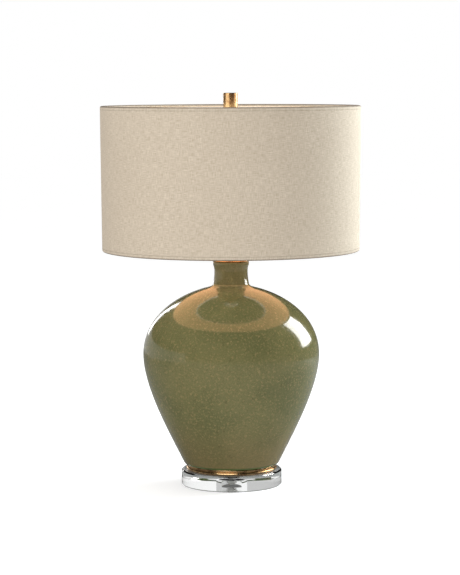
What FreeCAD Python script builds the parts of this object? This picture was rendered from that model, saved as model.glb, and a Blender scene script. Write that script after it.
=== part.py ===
# Ginger jar table lamp: a glazed vase on a crystal foot, with a drum shade carried on a harp.
# Millimetres. +Z is up, the origin is the centre of the foot's underside, and the front faces -Y.
# Each piece is a solid of revolution or a bent strip or wire, stacked along one centre pipe.
import FreeCAD, Part
import math
import os

from FreeCAD import Vector

# Fits, all radial or face to face
pipe_fit = 0.25            # holes that the centre pipe passes through
thread_fit = 0.05          # a nut, cap or insert on its thread
turning_fit = 0.05         # a shaft or pin that turns in its hole
glue_line = 0.1            # between the layers of the shade
seat_gap = 0.1             # under a piece that can lift or turn away
cut_past = 1.0             # how far a cutter runs past the face it cuts

# Centre pipe, 1/8 IP lamp pipe
pipe_radius = 4.85
pipe_bore_radius = 3.2
pipe_end_below_nut = 2.0
pipe_slot_width = 5.0
pipe_slot_length = 30.0
pipe_slot_above_floor = 30.0

# Crystal foot
foot_radius = 88.9
foot_height = 27.5
foot_edge_bevel = 2.2
foot_recess_spare = 3.0
foot_recess_depth = 12.0

# Washers and nut in the foot's recess
foot_washer_radius = 15.0
foot_washer_thickness = 1.6
lock_washer_rim = 1.3
lock_washer_thickness = 1.0
lock_washer_teeth = 8
lock_tooth_gap = 1.4
lock_tooth_length = 2.2
nut_across_flats = 15.9
nut_thickness = 4.5
nut_corner_chamfer = 0.8
nut_chamfer_drop = 0.4

# Vase: heights are above the base ring, and each rise is above the level before it
vase_wall = 6.0
vase_floor = 5.0
vase_edge_radius = 85.0
vase_edge_height = 3.0
vase_edge_rounding = 2.5
vase_edge_angle = 26.2
vase_edge_pull = 58.0
vase_rim_width = 12.5
vase_recess_depth = 1.5
vase_belly_radius = 155.575
vase_belly_height = 194.9
vase_belly_pull = 58.0
vase_shoulder_rise = 117.0
vase_shoulder_angle = 14.0
vase_shoulder_pull = 64.8
neck_radius = 31.7
neck_wall = 8.2
neck_fillet_reach = 12.3
neck_fillet_rise = 7.1
neck_fillet_pull_in = 8.0
neck_fillet_pull_up = 3.5
neck_waist_depth = 2.3
neck_waist_rise = 23.0
neck_lip_rise = 11.5
neck_lip_height = 5.0
neck_lip_rounding = 2.0
vase_pipe_hole_spare = 1.65

# Brass base ring under the vase
ring_setback = 4.2
ring_lower_bead_radius = 2.7
ring_upper_bead_radius = 2.1
ring_neck_height = 0.9
ring_wall = 8.3
ring_web_thickness = 3.0
ring_boss_radius = 12.0

# Cord outlet low in the vase's rear wall
outlet_height = 37.0
outlet_search_steps = 40
bushing_bore_radius = 4.0
bushing_wall = 2.0
bushing_flange_lip = 2.5
bushing_flange_thickness = 2.2
bushing_inner_reach = 2.0
bushing_fit = 0.2

# Neck spacer
spacer_height = 22.5
spacer_end_radius = 10.5
spacer_end_height = 3.0
spacer_wall = 2.4

# Vase cap
cap_overhang = 1.3
cap_rim_thickness = 3.2
cap_rise = 1.2
cap_hub_lip = 3.5
cap_spigot_fit = 0.5
cap_spigot_wall = 2.0
cap_spigot_depth = 4.0

# Harp saddle and harp
saddle_thickness = 2.0
saddle_width = 15.9
saddle_end_overhang = 6.0
saddle_ear_thickness = 2.0
saddle_ear_width = 5.0
saddle_ear_height = 12.0
harp_size = 228.6
harp_wire_radius = 1.9
harp_foot_half_width = 33.0
harp_half_width = 54.0
harp_leg_length = 29.0
harp_flare_angle = 20.0
harp_flare_radius = 25.0
harp_side_radius = 110.0
harp_shoulder_angle = 15.0
harp_shoulder_radius = 250.0
harp_crown_radius = 36.0
harp_eye_half_length = 9.0
harp_eye_half_width = 5.5
harp_eye_thickness = 3.0
ferrule_fit = 0.3
ferrule_wall = 0.9
ferrule_height = 12.0

# Harp stud, which the shade drops over
stud_flange_lip = 1.9
stud_flange_thickness = 2.0
stud_shoulder_radius = 4.75
stud_thread_radius = 3.175
stud_thread_length = 12.0
stud_thread_chamfer = 0.6
stud_rivet_radius = 2.5
stud_rivet_head_lip = 1.5
stud_rivet_head_thickness = 1.3

# Drum shade
shade_height = 254.0
shade_top_radius = 228.6
shade_taper = 2.0
shade_fabric_thickness = 0.8
shade_liner_thickness = 0.6
shade_wire_radius = 1.6
shade_roll_slack = 0.5
spider_recess = 16.0
spider_washer_margin = 3.3
spider_washer_thickness = 2.0
spider_arm_count = 3
spider_arm_bend_radius = 8.0
spider_arm_first_angle = 90.0

# Finial
finial_radius = 12.7
finial_height = 38.1
finial_edge_chamfer = 0.5
finial_groove_below_top = 4.0
finial_groove_depth = 0.4
insert_radius = 7.0
insert_length = 14.0
finial_bore_spare = 6.0

# A19 bulb with an E26 base
bulb_radius = 30.0
bulb_length = 82.0
bulb_wall = 0.9
bulb_throat_angle = 35.0
bulb_neck_pull = 18.0
bulb_throat_pull = 14.0
bulb_base_radius = 13.0
bulb_base_wall = 0.4
bulb_base_height = 22.0
bulb_collar_lip = 1.4
bulb_collar_height = 2.0
bulb_cement_gap = 0.2
bulb_insulator_height = 2.8
bulb_insulator_radius = 6.5
bulb_button_radius = 4.6
bulb_button_height = 1.0
bulb_pin_radius = 1.8
bulb_stem_radius = 5.0
bulb_stem_tip_radius = 2.5
bulb_stem_height = 30.0
filament_rise = 5.0
filament_radius = 0.6
filament_half_span = 9.0
filament_lead_radius = 0.5

# E26 socket
socket_hub_wall = 3.6
socket_hub_height = 9.0
socket_cap_height = 22.0
socket_cap_wall = 0.7
socket_shoulder_rise = 5.0
socket_shell_wall = 0.5
socket_shell_height = 46.0
socket_shell_overlap = 7.0
socket_rim_turn_in = 0.9
socket_liner_thickness = 0.8
socket_part_fit = 0.15
socket_body_height = 11.0
socket_body_above_cap = 1.0
screw_shell_fit = 0.3
screw_shell_wall = 0.45
screw_shell_spare = 1.25
screw_shell_below_rim = 1.5
screw_shell_foot_spare = 1.2
contact_strip_width = 5.0
contact_strip_thickness = 0.5
contact_strip_length = 16.0
contact_gap = 0.3
contact_bend_low = -4.0
contact_bend_high = -1.6
contact_strip_end = 4.0
terminal_recess = 4.2
terminal_head_radius = 2.8
terminal_head_thickness = 1.6
terminal_shank_radius = 1.5
terminal_shank_length = 4.0
terminal_flat_spare = 1.0
screw_slot_width = 0.8
screw_slot_depth = 0.8
set_screw_radius = 1.6
set_screw_stand_out = 2.5

# Turn switch
stem_radius = 2.0
stem_in_body = 8.0
switch_hole_spare = 2.0
knob_radius = 7.0
knob_length = 12.0
knob_edge_round = 1.2
knob_face_thickness = 2.5
knob_flutes = 12
knob_collar = 2.2
knob_flute_radius = 1.1
knob_off_shell = 4.0

# Levels, stacked from the table up
foot_top = foot_height
ring_top = foot_top + 2 * ring_lower_bead_radius + ring_neck_height + 2 * ring_upper_bead_radius
vase_belly_level = ring_top + vase_belly_height
vase_shoulder_level = vase_belly_level + vase_shoulder_rise
neck_base_level = vase_shoulder_level + neck_fillet_rise
neck_waist_level = neck_base_level + neck_waist_rise
neck_lip_level = neck_waist_level + neck_lip_rise
vase_top = neck_lip_level + neck_lip_height
cap_top = vase_top + cap_rim_thickness + cap_rise
spacer_top = cap_top + spacer_height
saddle_top = spacer_top + saddle_thickness
saddle_nut_top = saddle_top + nut_thickness
shade_rest = spacer_top + harp_size
harp_eye_top = shade_rest - stud_flange_thickness
harp_eye_bottom = harp_eye_top - harp_eye_thickness
spider_washer_top = shade_rest + spider_washer_thickness
finial_bottom = spider_washer_top + seat_gap
finial_top = finial_bottom + finial_height
shade_top = spider_washer_top + spider_recess
shade_bottom = shade_top - shade_height

foot_recess_top = foot_recess_depth
foot_washer_bottom = foot_recess_top - foot_washer_thickness
lock_washer_bottom = foot_washer_bottom - lock_washer_thickness
foot_nut_bottom = lock_washer_bottom - nut_thickness
pipe_bottom = foot_nut_bottom - pipe_end_below_nut
pipe_top = saddle_nut_top + socket_hub_height

socket_cap_top = saddle_nut_top + socket_cap_height
socket_shell_bottom = socket_cap_top - socket_shell_overlap
socket_shell_top = socket_shell_bottom + socket_shell_height
socket_body_bottom = socket_cap_top + socket_body_above_cap
socket_body_top = socket_body_bottom + socket_body_height
switch_level = socket_body_bottom + socket_body_height / 2

bulb_seat = socket_shell_top + seat_gap
bulb_glass_bottom = bulb_seat + bulb_collar_height
bulb_base_bottom = bulb_glass_bottom - bulb_base_height
bulb_insulator_bottom = bulb_base_bottom - bulb_insulator_height
bulb_button_bottom = bulb_insulator_bottom - bulb_button_height
bulb_top = bulb_glass_bottom + bulb_length

# Radii that follow from the piece inside or beside
pipe_hole_radius = pipe_radius + pipe_fit
foot_recess_radius = foot_washer_radius + foot_recess_spare
lock_washer_radius = pipe_hole_radius + lock_tooth_length + lock_washer_rim
vase_underside_radius = vase_edge_radius - vase_edge_rounding
vase_shoulder_radius = neck_radius + neck_fillet_reach
neck_bore_radius = neck_radius - neck_wall
ring_wall_radius = vase_underside_radius - ring_setback
ring_inner_radius = ring_wall_radius - ring_wall
bushing_barrel_radius = bushing_bore_radius + bushing_wall
cap_radius = neck_radius + cap_overhang
stud_flange_radius = stud_shoulder_radius + stud_flange_lip
spider_washer_radius = finial_radius + spider_washer_margin
screw_shell_inner = bulb_base_radius + screw_shell_fit
screw_shell_outer = screw_shell_inner + screw_shell_wall
socket_inside = screw_shell_outer + screw_shell_spare
socket_liner_inner = socket_inside + socket_part_fit
socket_liner_outer = socket_liner_inner + socket_liner_thickness
socket_shell_inner = socket_liner_outer + socket_part_fit
socket_shell_radius = socket_shell_inner + socket_shell_wall
socket_hub_radius = pipe_radius + thread_fit + socket_hub_wall
terminal_seat = socket_inside - terminal_recess
bulb_collar_radius = bulb_base_radius + bulb_collar_lip
bulb_neck_radius = bulb_collar_radius - bulb_base_wall - bulb_cement_gap
stem_start = socket_inside - stem_in_body
knob_near = socket_shell_radius + knob_off_shell
knob_far = knob_near + knob_length
stem_end = knob_far - knob_face_thickness

# Shade edges: the fabric turns over the liner and the wire ring in one roll
roll_inner_radius = (shade_liner_thickness + 2 * shade_wire_radius + 3 * glue_line + shade_roll_slack) / 2
roll_outer_radius = roll_inner_radius + shade_fabric_thickness
top_roll_level = shade_top - roll_outer_radius
bottom_roll_level = shade_bottom + roll_outer_radius

# Harp leg and saddle ear, side by side inside the ferrule
leg_and_ear_half_width = harp_wire_radius + (seat_gap + saddle_ear_thickness) / 2
ferrule_middle = harp_foot_half_width + harp_wire_radius - leg_and_ear_half_width
ferrule_bore_radius = math.hypot(leg_and_ear_half_width, saddle_ear_width / 2) + ferrule_fit

AXIS = Vector(0, 0, 1)


class Outline:
    """A closed outline in the X-Z plane, drawn edge by edge, that turns into a solid round Z."""

    def __init__(self, x, z):
        self.start = Vector(x, 0, z)
        self.here = self.start
        self.edges = []

    def line(self, x, z):
        end = Vector(x, 0, z)
        self.edges.append(Part.LineSegment(self.here, end).toShape())
        self.here = end
        return self

    def arc(self, middle_x, middle_z, x, z):
        end = Vector(x, 0, z)
        self.edges.append(Part.Arc(self.here, Vector(middle_x, 0, middle_z), end).toShape())
        self.here = end
        return self

    def arc_leaving(self, heading, x, z):
        """An arc to this point that leaves at this heading, in degrees from +X towards +Z."""
        chord = Vector(x, 0, z) - self.here
        leaving = math.radians(heading)
        half_turn = math.remainder(math.atan2(chord.z, chord.x) - leaving, 2 * math.pi) / 2
        reach = chord.Length / 2 / math.cos(half_turn)
        middle = self.here + Vector(math.cos(leaving + half_turn), 0, math.sin(leaving + half_turn)) * reach
        return self.arc(middle.x, middle.z, x, z)

    def arc_arriving(self, heading, x, z):
        """An arc to this point that arrives there at this heading."""
        chord = Vector(x, 0, z) - self.here
        return self.arc_leaving(2 * math.degrees(math.atan2(chord.z, chord.x)) - heading, x, z)

    def bezier(self, handle_1, handle_2, end):
        curve = Part.BezierCurve()
        curve.setPoles([self.here, handle_1, handle_2, end])
        self.edges.append(curve.toShape())
        self.here = end
        return self

    def face(self):
        if self.here != self.start:
            self.line(self.start.x, self.start.z)
        return Part.Face(Part.Wire(self.edges))

    def revolved(self):
        return self.face().revolve(Vector(0, 0, 0), AXIS, 360)


class BentWire:
    """Straight runs and tangent arcs in the X-Z plane; the heading is measured from +Z towards +X."""

    def __init__(self, x, z, heading):
        self.here = Vector(x, 0, z)
        self.heading = math.radians(heading)
        self.edges = []

    def direction(self, heading):
        return Vector(math.sin(heading), 0, math.cos(heading))

    def run(self, length):
        end = self.here + self.direction(self.heading) * length
        self.edges.append(Part.LineSegment(self.here, end).toShape())
        self.here = end
        return self

    def turn(self, angle, radius):
        """Turns by this angle in degrees, positive towards +X."""
        sweep = math.radians(angle)
        to_side = self.heading + math.copysign(math.pi / 2, sweep)
        centre = self.here + self.direction(to_side) * radius
        middle = centre - self.direction(to_side + sweep / 2) * radius
        end = centre - self.direction(to_side + sweep) * radius
        self.edges.append(Part.Arc(self.here, middle, end).toShape())
        self.here = end
        self.heading += sweep
        return self

    def solid(self, radius):
        path = Part.Wire(self.edges)
        first = path.OrderedEdges[0]
        circle = Part.makeCircle(radius, path.OrderedVertexes[0].Point, first.tangentAt(first.FirstParameter))
        return path.makePipeShell([Part.Wire(circle)], True, False)


def tube(outer, inner, bottom, top):
    """A plain tube or washer round Z."""
    return Outline(inner, bottom).line(outer, bottom).line(outer, top).line(inner, top).revolved()


def rod(radius, bottom, top):
    return Part.makeCylinder(radius, top - bottom, Vector(0, 0, bottom))


def box(x_range, y_range, z_range):
    corner = Vector(x_range[0], y_range[0], z_range[0])
    return Part.makeBox(x_range[1] - x_range[0], y_range[1] - y_range[0], z_range[1] - z_range[0], corner)


def moved(shape, x, z):
    shape.translate(Vector(x, 0, z))
    return shape


def around_z(shape, angle):
    turned = shape.copy()
    turned.rotate(Vector(0, 0, 0), AXIS, angle)
    return turned


def placed(shape, origin, direction):
    """Moves a piece made round Z so that its own +Z points along direction from origin."""
    copy = shape.copy()
    copy.Placement = FreeCAD.Placement(origin, FreeCAD.Rotation(AXIS, direction))
    return copy


def round_ended_plate(half_length, half_width, bottom, top):
    """A flat plate along X with a half-round end at each side."""
    straight = half_length - half_width
    plate = box((-straight, straight), (-half_width, half_width), (bottom, top))
    for x in (-straight, straight):
        plate = plate.fuse(moved(rod(half_width, bottom, top), x, 0))
    return plate


def pipe_nut(bottom):
    """A hexagon lamp-pipe nut with chamfered corners."""
    top = bottom + nut_thickness
    corner_radius = nut_across_flats / math.sqrt(3)
    corners = [Vector(corner_radius, 0, bottom)]
    for side in range(6):
        corners.append(around_z(Part.Vertex(corners[0]), 60 * (side + 1)).Point)
    prism = Part.Face(Part.makePolygon(corners)).extrude(AXIS * nut_thickness)
    face_radius = corner_radius - nut_corner_chamfer
    drum = Outline(0, bottom).line(face_radius, bottom).line(corner_radius, bottom + nut_chamfer_drop)
    drum.line(corner_radius, top - nut_chamfer_drop).line(face_radius, top).line(0, top)
    return prism.common(drum.revolved()).cut(rod(pipe_radius + thread_fit, bottom - cut_past, top + cut_past))


def crystal_foot():
    """Polished disc, bored for the pipe and counterbored from below for the nut."""
    bevel = foot_edge_bevel
    outline = Outline(foot_recess_radius, 0).line(foot_radius - bevel, 0).line(foot_radius, bevel)
    outline.line(foot_radius, foot_top - bevel).line(foot_radius - bevel, foot_top)
    outline.line(pipe_hole_radius, foot_top).line(pipe_hole_radius, foot_recess_top)
    outline.line(foot_recess_radius, foot_recess_top)
    return outline.revolved()


def foot_washer():
    return tube(foot_washer_radius, pipe_hole_radius, foot_washer_bottom, foot_recess_top)


def foot_lock_washer():
    """Internal-tooth lock washer: gaps cut outward from its bore leave the teeth."""
    washer = tube(lock_washer_radius, pipe_hole_radius, lock_washer_bottom, foot_washer_bottom)
    gap = box((0, pipe_hole_radius + lock_tooth_length), (-lock_tooth_gap / 2, lock_tooth_gap / 2),
              (lock_washer_bottom - cut_past, foot_washer_bottom + cut_past))
    for tooth in range(lock_washer_teeth):
        washer = washer.cut(around_z(gap, tooth * 360 / lock_washer_teeth))
    return washer


def base_ring():
    """Cast ring: two half-round beads outside, a web on top for the vase, and a boss round the pipe."""
    wall = ring_wall_radius
    lower_bead_top = foot_top + 2 * ring_lower_bead_radius
    upper_bead_bottom = lower_bead_top + ring_neck_height
    web_bottom = ring_top - ring_web_thickness
    outline = Outline(ring_inner_radius, foot_top).line(wall, foot_top)
    outline.arc_leaving(0, wall, lower_bead_top)
    outline.line(wall, upper_bead_bottom).arc_leaving(0, wall, ring_top)
    outline.line(pipe_hole_radius, ring_top).line(pipe_hole_radius, foot_top)
    outline.line(ring_boss_radius, foot_top).line(ring_boss_radius, web_bottom)
    outline.line(ring_inner_radius, web_bottom)
    return outline.revolved()


def vase_wall_curves(inset):
    """Control points of the vase's lower and upper wall, moved inwards by inset along the wall's normal."""
    lean = math.radians(vase_edge_angle)
    slope = math.radians(vase_shoulder_angle)
    up_the_wall = Vector(math.sin(lean), 0, math.cos(lean))
    down_the_slope = Vector(math.cos(slope), 0, -math.sin(slope))
    edge = Vector(vase_edge_radius, 0, ring_top + vase_edge_height)
    edge = edge + Vector(-up_the_wall.z, 0, up_the_wall.x) * inset
    belly = Vector(vase_belly_radius - inset, 0, vase_belly_level)
    shoulder = Vector(vase_shoulder_radius, 0, vase_shoulder_level)
    shoulder = shoulder + Vector(down_the_slope.z, 0, -down_the_slope.x) * inset
    lower = [edge, edge + up_the_wall * vase_edge_pull, belly - AXIS * vase_belly_pull, belly]
    upper = [belly, belly + AXIS * vase_belly_pull, shoulder + down_the_slope * vase_shoulder_pull, shoulder]
    return lower, upper


def outlet_place():
    """The point on the vase's rear wall at the outlet's height, and the wall's outward normal there."""
    curve = Part.BezierCurve()
    curve.setPoles(vase_wall_curves(0)[0])
    low, high = 0.0, 1.0
    for halving in range(outlet_search_steps):
        middle = (low + high) / 2
        if curve.value(middle).z < ring_top + outlet_height:
            low = middle
        else:
            high = middle
    point = curve.value(low)
    along = curve.tangent(low)[0]
    return Vector(0, point.x, point.z), Vector(0, along.z, -along.x)


def vase():
    """Slip-cast vase: one wall from edge to belly to shoulder, a waisted neck and a rounded lip."""
    lower, upper = vase_wall_curves(0)
    inner_lower, inner_upper = vase_wall_curves(vase_wall)
    underside = ring_top + vase_recess_depth
    floor_top = ring_top + vase_floor
    hole_radius = pipe_radius + vase_pipe_hole_spare
    rim_inner = vase_underside_radius - vase_rim_width
    edge, shoulder, inner_shoulder = lower[0], upper[3], inner_upper[3]
    waist_radius = neck_radius - neck_waist_depth
    cove_lean = 2 * math.atan2(neck_waist_depth, neck_waist_rise)
    up_the_shoulder = (upper[3] - upper[2]).normalize()
    fillet_end = Vector(neck_radius, 0, neck_base_level)
    below_fillet_end = fillet_end + Vector(math.sin(cove_lean), 0, -math.cos(cove_lean)) * neck_fillet_pull_up
    lip_bottom = vase_top - neck_lip_rounding

    outline = Outline(hole_radius, underside).line(rim_inner, underside).line(rim_inner, ring_top)
    outline.line(vase_underside_radius, ring_top).arc_arriving(90 - vase_edge_angle, edge.x, edge.z)
    outline.bezier(*lower[1:]).bezier(*upper[1:])
    outline.bezier(shoulder + up_the_shoulder * neck_fillet_pull_in, below_fillet_end, fillet_end)
    outline.arc_arriving(90, waist_radius, neck_waist_level).arc_leaving(90, neck_radius, neck_lip_level)
    outline.line(neck_radius, lip_bottom).arc_leaving(90, neck_radius - neck_lip_rounding, vase_top)
    outline.line(neck_bore_radius, vase_top).line(neck_bore_radius, inner_shoulder.z + vase_wall / 2)
    outline.line(inner_shoulder.x, inner_shoulder.z)
    outline.bezier(*inner_upper[2::-1]).bezier(*inner_lower[2::-1])
    outline.line(inner_lower[0].x - vase_wall, floor_top).line(hole_radius, floor_top)

    point, normal = outlet_place()
    hole = Part.makeCylinder(bushing_barrel_radius + bushing_fit, 4 * vase_wall,
                             point - normal * 2 * vase_wall, normal)
    return outline.revolved().cut(hole)


def cord_bushing():
    """Outlet bushing: rounded flange outside the wall and a barrel through it."""
    inner_end = -(vase_wall + bushing_inner_reach)
    flange_edge = bushing_barrel_radius + bushing_flange_lip - bushing_flange_thickness / 2
    outline = Outline(bushing_bore_radius, inner_end).line(bushing_barrel_radius, inner_end)
    outline.line(bushing_barrel_radius, seat_gap).line(flange_edge, seat_gap)
    outline.arc_leaving(0, flange_edge, seat_gap + bushing_flange_thickness)
    outline.line(bushing_bore_radius, seat_gap + bushing_flange_thickness)
    point, normal = outlet_place()
    return placed(outline.revolved(), point, normal)


def centre_pipe():
    """Threaded lamp pipe with a slot for the lead, open to the rear inside the vase."""
    pipe = tube(pipe_radius, pipe_bore_radius, pipe_bottom, pipe_top)
    slot_bottom = ring_top + pipe_slot_above_floor
    slot = box((-pipe_slot_width / 2, pipe_slot_width / 2), (0, 2 * pipe_radius),
               (slot_bottom, slot_bottom + pipe_slot_length))
    return pipe.cut(slot)


def vase_cap():
    """Turned brass cap: rounded rim, low dome up to a flat hub, and a spigot inside the neck."""
    rim_start = cap_radius - cap_rim_thickness / 2
    spigot_bottom = vase_top - cap_spigot_depth
    spigot_outer = neck_bore_radius - cap_spigot_fit
    spigot_inner = spigot_outer - cap_spigot_wall
    hub_radius = spacer_end_radius + cap_hub_lip
    outline = Outline(pipe_hole_radius, vase_top).line(spigot_inner, vase_top)
    outline.line(spigot_inner, spigot_bottom).line(spigot_outer, spigot_bottom)
    outline.line(spigot_outer, vase_top).line(rim_start, vase_top)
    outline.arc_leaving(0, rim_start, vase_top + cap_rim_thickness)
    outline.line(hub_radius + cap_rise, vase_top + cap_rim_thickness)
    outline.line(hub_radius, cap_top).line(pipe_hole_radius, cap_top)
    return outline.revolved()


def neck_spacer():
    """Turned tube with a flange at each end and a long cove between."""
    cove_bottom = cap_top + spacer_end_height
    cove_top = spacer_top - spacer_end_height
    waist = pipe_hole_radius + spacer_wall
    outline = Outline(pipe_hole_radius, cap_top).line(spacer_end_radius, cap_top)
    outline.line(spacer_end_radius, cove_bottom)
    outline.arc(waist, (cove_bottom + cove_top) / 2, spacer_end_radius, cove_top)
    outline.line(spacer_end_radius, spacer_top).line(pipe_hole_radius, spacer_top)
    return outline.revolved()


def harp_saddle():
    """Flat strip on the pipe, with an ear standing up beside each harp leg."""
    half_length = harp_foot_half_width + saddle_end_overhang
    strip = round_ended_plate(half_length, saddle_width / 2, spacer_top, saddle_top)
    ear_outer = harp_foot_half_width - harp_wire_radius - seat_gap
    ear = box((ear_outer - saddle_ear_thickness, ear_outer), (-saddle_ear_width / 2, saddle_ear_width / 2),
              (spacer_top, saddle_top + saddle_ear_height))
    strip = strip.fuse(ear).fuse(around_z(ear, 180))
    return strip.cut(rod(pipe_hole_radius, spacer_top - cut_past, saddle_top + cut_past)).removeSplitter()


def harp_leg():
    """Half of the bow, from its foot on the saddle to the eye at the top."""
    flare = math.radians(harp_flare_angle)
    shoulder = math.radians(harp_shoulder_angle)
    flare_radii = harp_flare_radius + harp_side_radius
    flare_out = harp_half_width - harp_foot_half_width - flare_radii * (1 - math.cos(flare))
    flare_run = flare_out / math.sin(flare)
    flare_height = flare_radii * math.sin(flare) + flare_run * math.cos(flare)
    crown_height = harp_shoulder_radius * math.sin(shoulder) + harp_crown_radius * (1 - math.sin(shoulder))
    crown_width = harp_shoulder_radius * (1 - math.cos(shoulder)) + harp_crown_radius * math.cos(shoulder)
    wire_foot = saddle_top + seat_gap
    wire_top = (harp_eye_bottom + harp_eye_top) / 2
    side_run = wire_top - wire_foot - harp_leg_length - flare_height - crown_height
    eye_run = harp_half_width - crown_width - harp_eye_half_length + harp_wire_radius

    wire = BentWire(harp_foot_half_width, wire_foot, 0).run(harp_leg_length)
    wire.turn(harp_flare_angle, harp_flare_radius).run(flare_run)
    wire.turn(-harp_flare_angle, harp_side_radius).run(side_run)
    wire.turn(-harp_shoulder_angle, harp_shoulder_radius)
    wire.turn(harp_shoulder_angle - 90, harp_crown_radius).run(eye_run)
    return wire.solid(harp_wire_radius)


def harp():
    """Bent wire bow with a flattened eye at the top for the stud's rivet."""
    eye = round_ended_plate(harp_eye_half_length, harp_eye_half_width, harp_eye_bottom, harp_eye_top)
    leg = harp_leg()
    bow = eye.fuse(leg).fuse(around_z(leg, 180))
    rivet_hole = rod(stud_rivet_radius + thread_fit, harp_eye_bottom - cut_past, harp_eye_top + cut_past)
    return bow.cut(rivet_hole).removeSplitter()


def harp_ferrule(side):
    """Tube that drops over the harp's leg and the saddle's ear and locks them."""
    bottom = saddle_top + seat_gap
    ferrule = tube(ferrule_bore_radius + ferrule_wall, ferrule_bore_radius, bottom, bottom + ferrule_height)
    return moved(ferrule, side * ferrule_middle, 0)


def harp_stud():
    """Rivet head, shank, flange that the shade rests on, shoulder that centres it, and threaded end."""
    head_radius = stud_rivet_radius + stud_rivet_head_lip
    shoulder_top = spider_washer_top - seat_gap
    thread_top = shoulder_top + stud_thread_length
    outline = Outline(0, harp_eye_bottom - stud_rivet_head_thickness)
    outline.arc_leaving(0, head_radius, harp_eye_bottom)
    outline.line(stud_rivet_radius, harp_eye_bottom).line(stud_rivet_radius, harp_eye_top)
    outline.line(stud_flange_radius, harp_eye_top).line(stud_flange_radius, shade_rest)
    outline.line(stud_shoulder_radius, shade_rest).line(stud_shoulder_radius, shoulder_top)
    outline.line(stud_thread_radius, shoulder_top)
    outline.line(stud_thread_radius, thread_top - stud_thread_chamfer)
    outline.line(stud_thread_radius - stud_thread_chamfer, thread_top).line(0, thread_top)
    return outline.revolved()


def shade_radius(level):
    """Outer radius of the fabric at this level; the drum narrows slightly downwards."""
    share_down = (shade_top - level) / shade_height
    return shade_top_radius - shade_taper * share_down


def wire_ring_radius(level):
    liner_inner = shade_radius(level) - shade_fabric_thickness - glue_line - shade_liner_thickness
    return liner_inner - glue_line - shade_wire_radius


def shade_fabric():
    """Cover with both edges rolled inwards over the wires."""
    top = shade_radius(top_roll_level)
    bottom = shade_radius(bottom_roll_level)
    wall = shade_fabric_thickness
    roll = 2 * roll_outer_radius
    outline = Outline(bottom - roll, bottom_roll_level).arc_leaving(270, bottom, bottom_roll_level)
    outline.line(top, top_roll_level).arc_leaving(90, top - roll, top_roll_level)
    outline.line(top - roll + wall, top_roll_level).arc_leaving(90, top - wall, top_roll_level)
    outline.line(bottom - wall, bottom_roll_level).arc_leaving(270, bottom - roll + wall, bottom_roll_level)
    return outline.revolved()


def shade_liner():
    """Stiff translucent sheet behind the fabric."""
    inset = shade_fabric_thickness + glue_line
    top = shade_radius(top_roll_level) - inset
    bottom = shade_radius(bottom_roll_level) - inset
    outline = Outline(bottom - shade_liner_thickness, bottom_roll_level).line(bottom, bottom_roll_level)
    outline.line(top, top_roll_level).line(top - shade_liner_thickness, top_roll_level)
    return outline.revolved()


def shade_ring(level):
    return Part.makeTorus(wire_ring_radius(level), shade_wire_radius, Vector(0, 0, level))


def spider():
    """Three dropped arms from the washer on the harp to the underside of the top ring."""
    frame = tube(spider_washer_radius, stud_shoulder_radius + turning_fit, shade_rest, spider_washer_top)
    arm_level = spider_washer_top - shade_wire_radius
    arm_start = spider_washer_radius - shade_wire_radius
    arm_top = top_roll_level - shade_wire_radius - glue_line
    run_out = wire_ring_radius(top_roll_level) - spider_arm_bend_radius - arm_start
    run_up = arm_top - arm_level - spider_arm_bend_radius
    arm = BentWire(arm_start, arm_level, 90).run(run_out).turn(-90, spider_arm_bend_radius).run(run_up)
    arm = arm.solid(shade_wire_radius)
    for number in range(spider_arm_count):
        frame = frame.fuse(around_z(arm, spider_arm_first_angle + number * 360 / spider_arm_count))
    return frame


def finial():
    """Turned cylinder with a fine groove near the top and a bore for its insert."""
    bore = insert_radius + turning_fit
    bore_top = finial_bottom + insert_length + finial_bore_spare
    groove = finial_top - finial_groove_below_top
    edge = finial_radius - finial_edge_chamfer
    outline = Outline(bore, finial_bottom).line(edge, finial_bottom)
    outline.line(finial_radius, finial_bottom + finial_edge_chamfer)
    outline.line(finial_radius, groove - finial_groove_depth)
    outline.line(finial_radius - finial_groove_depth, groove)
    outline.line(finial_radius, groove + finial_groove_depth)
    outline.line(finial_radius, finial_top - finial_edge_chamfer).line(edge, finial_top)
    outline.line(0, finial_top).line(0, bore_top).line(bore, bore_top)
    return outline.revolved()


def finial_insert():
    bore = stud_thread_radius + turning_fit
    return tube(insert_radius, bore, finial_bottom, finial_bottom + insert_length)


def socket_cap():
    """Spun cup with the hub that screws onto the pipe."""
    inner = socket_shell_radius + socket_part_fit
    outer = inner + socket_cap_wall
    bore = pipe_radius + thread_fit
    hub_top = saddle_nut_top + socket_hub_height
    cup_bottom = hub_top + socket_shoulder_rise
    outline = Outline(bore, saddle_nut_top).line(socket_hub_radius, saddle_nut_top)
    outline.line(socket_hub_radius, hub_top - socket_cap_wall).arc_leaving(0, outer, cup_bottom)
    outline.line(outer, socket_cap_top).line(inner, socket_cap_top).line(inner, cup_bottom)
    outline.arc_arriving(180, socket_hub_radius, hub_top).line(bore, hub_top)
    hole = rod(set_screw_radius + thread_fit, 0, 2 * socket_hub_radius)
    return outline.revolved().cut(placed(hole, set_screw_place(), Vector(0, 1, 0)))


def set_screw_place():
    return Vector(0, 0, saddle_nut_top + socket_hub_height / 2)


def socket_set_screw():
    """Slotted screw through the hub's rear wall onto the pipe."""
    end = socket_hub_radius + set_screw_stand_out
    slot = box((-screw_slot_width / 2, screw_slot_width / 2), (-end, end),
               (end - screw_slot_depth, end + cut_past))
    screw = rod(set_screw_radius, pipe_radius + thread_fit, end).cut(slot)
    return placed(screw, set_screw_place(), Vector(0, 1, 0))


def switch_hole():
    """A cutter from the socket's middle out through its front."""
    hole = rod(stem_radius + switch_hole_spare, 0, 2 * socket_shell_radius)
    return placed(hole, Vector(0, 0, switch_level), Vector(0, -1, 0))


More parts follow.
